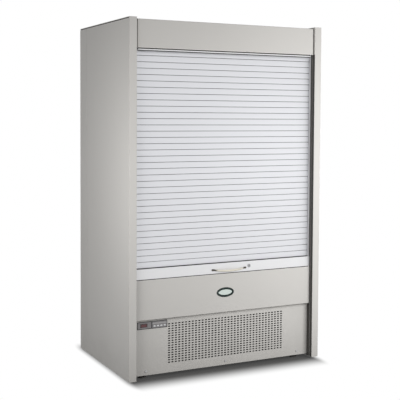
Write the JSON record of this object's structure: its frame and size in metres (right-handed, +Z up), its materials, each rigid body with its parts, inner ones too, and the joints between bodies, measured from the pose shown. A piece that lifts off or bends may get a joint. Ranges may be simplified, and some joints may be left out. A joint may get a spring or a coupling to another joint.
{
  "type": "multideck display fridge",
  "caption": "Upright multideck display fridge with shelves behind a slatted roller shutter, a vented plinth and small push-button controls.",
  "frame": {"origin": "on the floor, below the middle of the cabinet", "axes": "+X to the right seen from the front, +Y from the front to the back, +Z up"},
  "size_m": [1.2, 0.78, 1.94],
  "materials": {
    "white_paint": "warm white powder coat, satin",
    "insulated_panel": null,
    "insulated_liner": null,
    "liner_paint": "white liner paint, satin",
    "slat_aluminium": "bluish white lacquer",
    "rail_aluminium": "white lacquer",
    "galvanised": "galvanised",
    "dark_guide": "dark grey, matt",
    "spring_steel": "oiled spring steel",
    "black_rubber": "matt black",
    "nickel": "satin nickel",
    "lock_metal": "dull chrome",
    "honeycomb": "pale grey, matt",
    "lens": "opal",
    "strip": "clear over white",
    "fins": "bare fins",
    "black_plastic": "matt black",
    "motor": "dark grey",
    "copper": "bare copper",
    "badge_ring": "dark green grey",
    "badge_face": "pale mint",
    "control_grey": "dark grey",
    "display": "tinted maroon",
    "key": "pale grey"
  },
  "bodies": {
    "cabinet": {"air_honeycomb": "honeycomb", "apron_panel": "white_paint", "back_panel": "insulated_panel", "badge_bezel": "badge_ring", "badge_plate": "badge_face", "barrel_axle": "galvanised", "barrel_brackets": "galvanised", "base_deck": "liner_paint", "base_tray": "galvanised", "ceiling_panel": "liner_paint", "compressor": "motor", "condenser_coil": "fins", "condenser_fan_motor": "motor", "condenser_shroud": "galvanised", "control_bezel": "control_grey", "controller_case": "black_plastic", "counterbalance_spring": "spring_steel", "deck_rails": "liner_paint", "display_window": "display", "drip_tray": "galvanised", "evaporator_coil": "fins", "evaporator_fan_plate": "galvanised", "grille_panel": "white_paint", "grille_screws": "lock_metal", "head_box_liner": "liner_paint", "insulated_base": "insulated_liner", "left_end_panel": "insulated_panel", "levelling_feet": "black_rubber", "light_housing": "liner_paint", "light_tube": "lens", "liquid_receiver": "motor", "lock_keeper": "lock_metal", "mains_gland": "black_rubber", "rear_duct_panel": "liner_paint", "rear_vent_cover": "white_paint", "refrigerant_pipes": "copper", "right_end_panel": "insulated_panel", "roof_panel": "insulated_panel", "shelf_1": "liner_paint", "shelf_2": "liner_paint", "shelf_3": "liner_paint", "shelf_4": "liner_paint", "shelf_brackets": "liner_paint", "shelf_uprights": "galvanised", "shutter_guides": "dark_guide", "ticket_strips": "strip", "top_fascia": "white_paint"},
    "shutter": {"shutter_slats": "slat_aluminium", "bottom_rail": "rail_aluminium", "rail_seal": "black_rubber", "pull_handle": "nickel"},
    "barrel": {"shutter_barrel": "galvanised"},
    "lock": {"lock_cylinder": "lock_metal"},
    "condenser_rotor": {"condenser_fan": "black_plastic"},
    "evaporator_rotor_left": {"evaporator_fan_left": "black_plastic"},
    "evaporator_rotor_right": {"evaporator_fan_right": "black_plastic"},
    "button_body_1": {"button_1": "key"},
    "button_body_2": {"button_2": "key"},
    "button_body_3": {"button_3": "key"},
    "button_body_4": {"button_4": "key"}
  },
  "joints": [
    {"name": "shutter_lift", "type": "slide", "parent": "cabinet", "child": "shutter", "axis": [0, 0, 1], "range_m": [0, 1.19], "deforming": ["shutter_slats"]},
    {"name": "barrel_turn", "type": "hinge", "parent": "cabinet", "child": "barrel", "pos_m": [0, -0.2815, 1.85775], "axis": [-1, 0, 0], "range_deg": [0, 1420]},
    {"name": "lock_turn", "type": "hinge", "parent": "shutter", "child": "lock", "pos_m": [0.144, -0.36, 0.578], "axis": [0, 1, 0], "range_deg": [0, 90]},
    {"name": "condenser_fan_spin", "type": "hinge", "parent": "cabinet", "child": "condenser_rotor", "pos_m": [-0.02, -0.206, 0.175], "axis": [0, 1, 0], "continuous": true},
    {"name": "evaporator_fan_left_spin", "type": "hinge", "parent": "cabinet", "child": "evaporator_rotor_left", "pos_m": [-0.26, -0.01, 0.4575], "axis": [0, 1, 0], "continuous": true},
    {"name": "evaporator_fan_right_spin", "type": "hinge", "parent": "cabinet", "child": "evaporator_rotor_right", "pos_m": [0.26, -0.01, 0.4575], "axis": [0, 1, 0], "continuous": true},
    {"name": "button_1_press", "type": "slide", "parent": "cabinet", "child": "button_body_1", "axis": [0, 1, 0], "range_m": [0, 0.0008], "stiffness_N_per_m": 400, "springref_m": -0.0005},
    {"name": "button_2_press", "type": "slide", "parent": "cabinet", "child": "button_body_2", "axis": [0, 1, 0], "range_m": [0, 0.0008], "stiffness_N_per_m": 400, "springref_m": -0.0005},
    {"name": "button_3_press", "type": "slide", "parent": "cabinet", "child": "button_body_3", "axis": [0, 1, 0], "range_m": [0, 0.0008], "stiffness_N_per_m": 400, "springref_m": -0.0005},
    {"name": "button_4_press", "type": "slide", "parent": "cabinet", "child": "button_body_4", "axis": [0, 1, 0], "range_m": [0, 0.0008], "stiffness_N_per_m": 400, "springref_m": -0.0005}
  ],
  "couplings": [
    {"joint": "barrel_turn", "follows": "shutter_lift", "rad_per_m": 20.8}
  ]
}
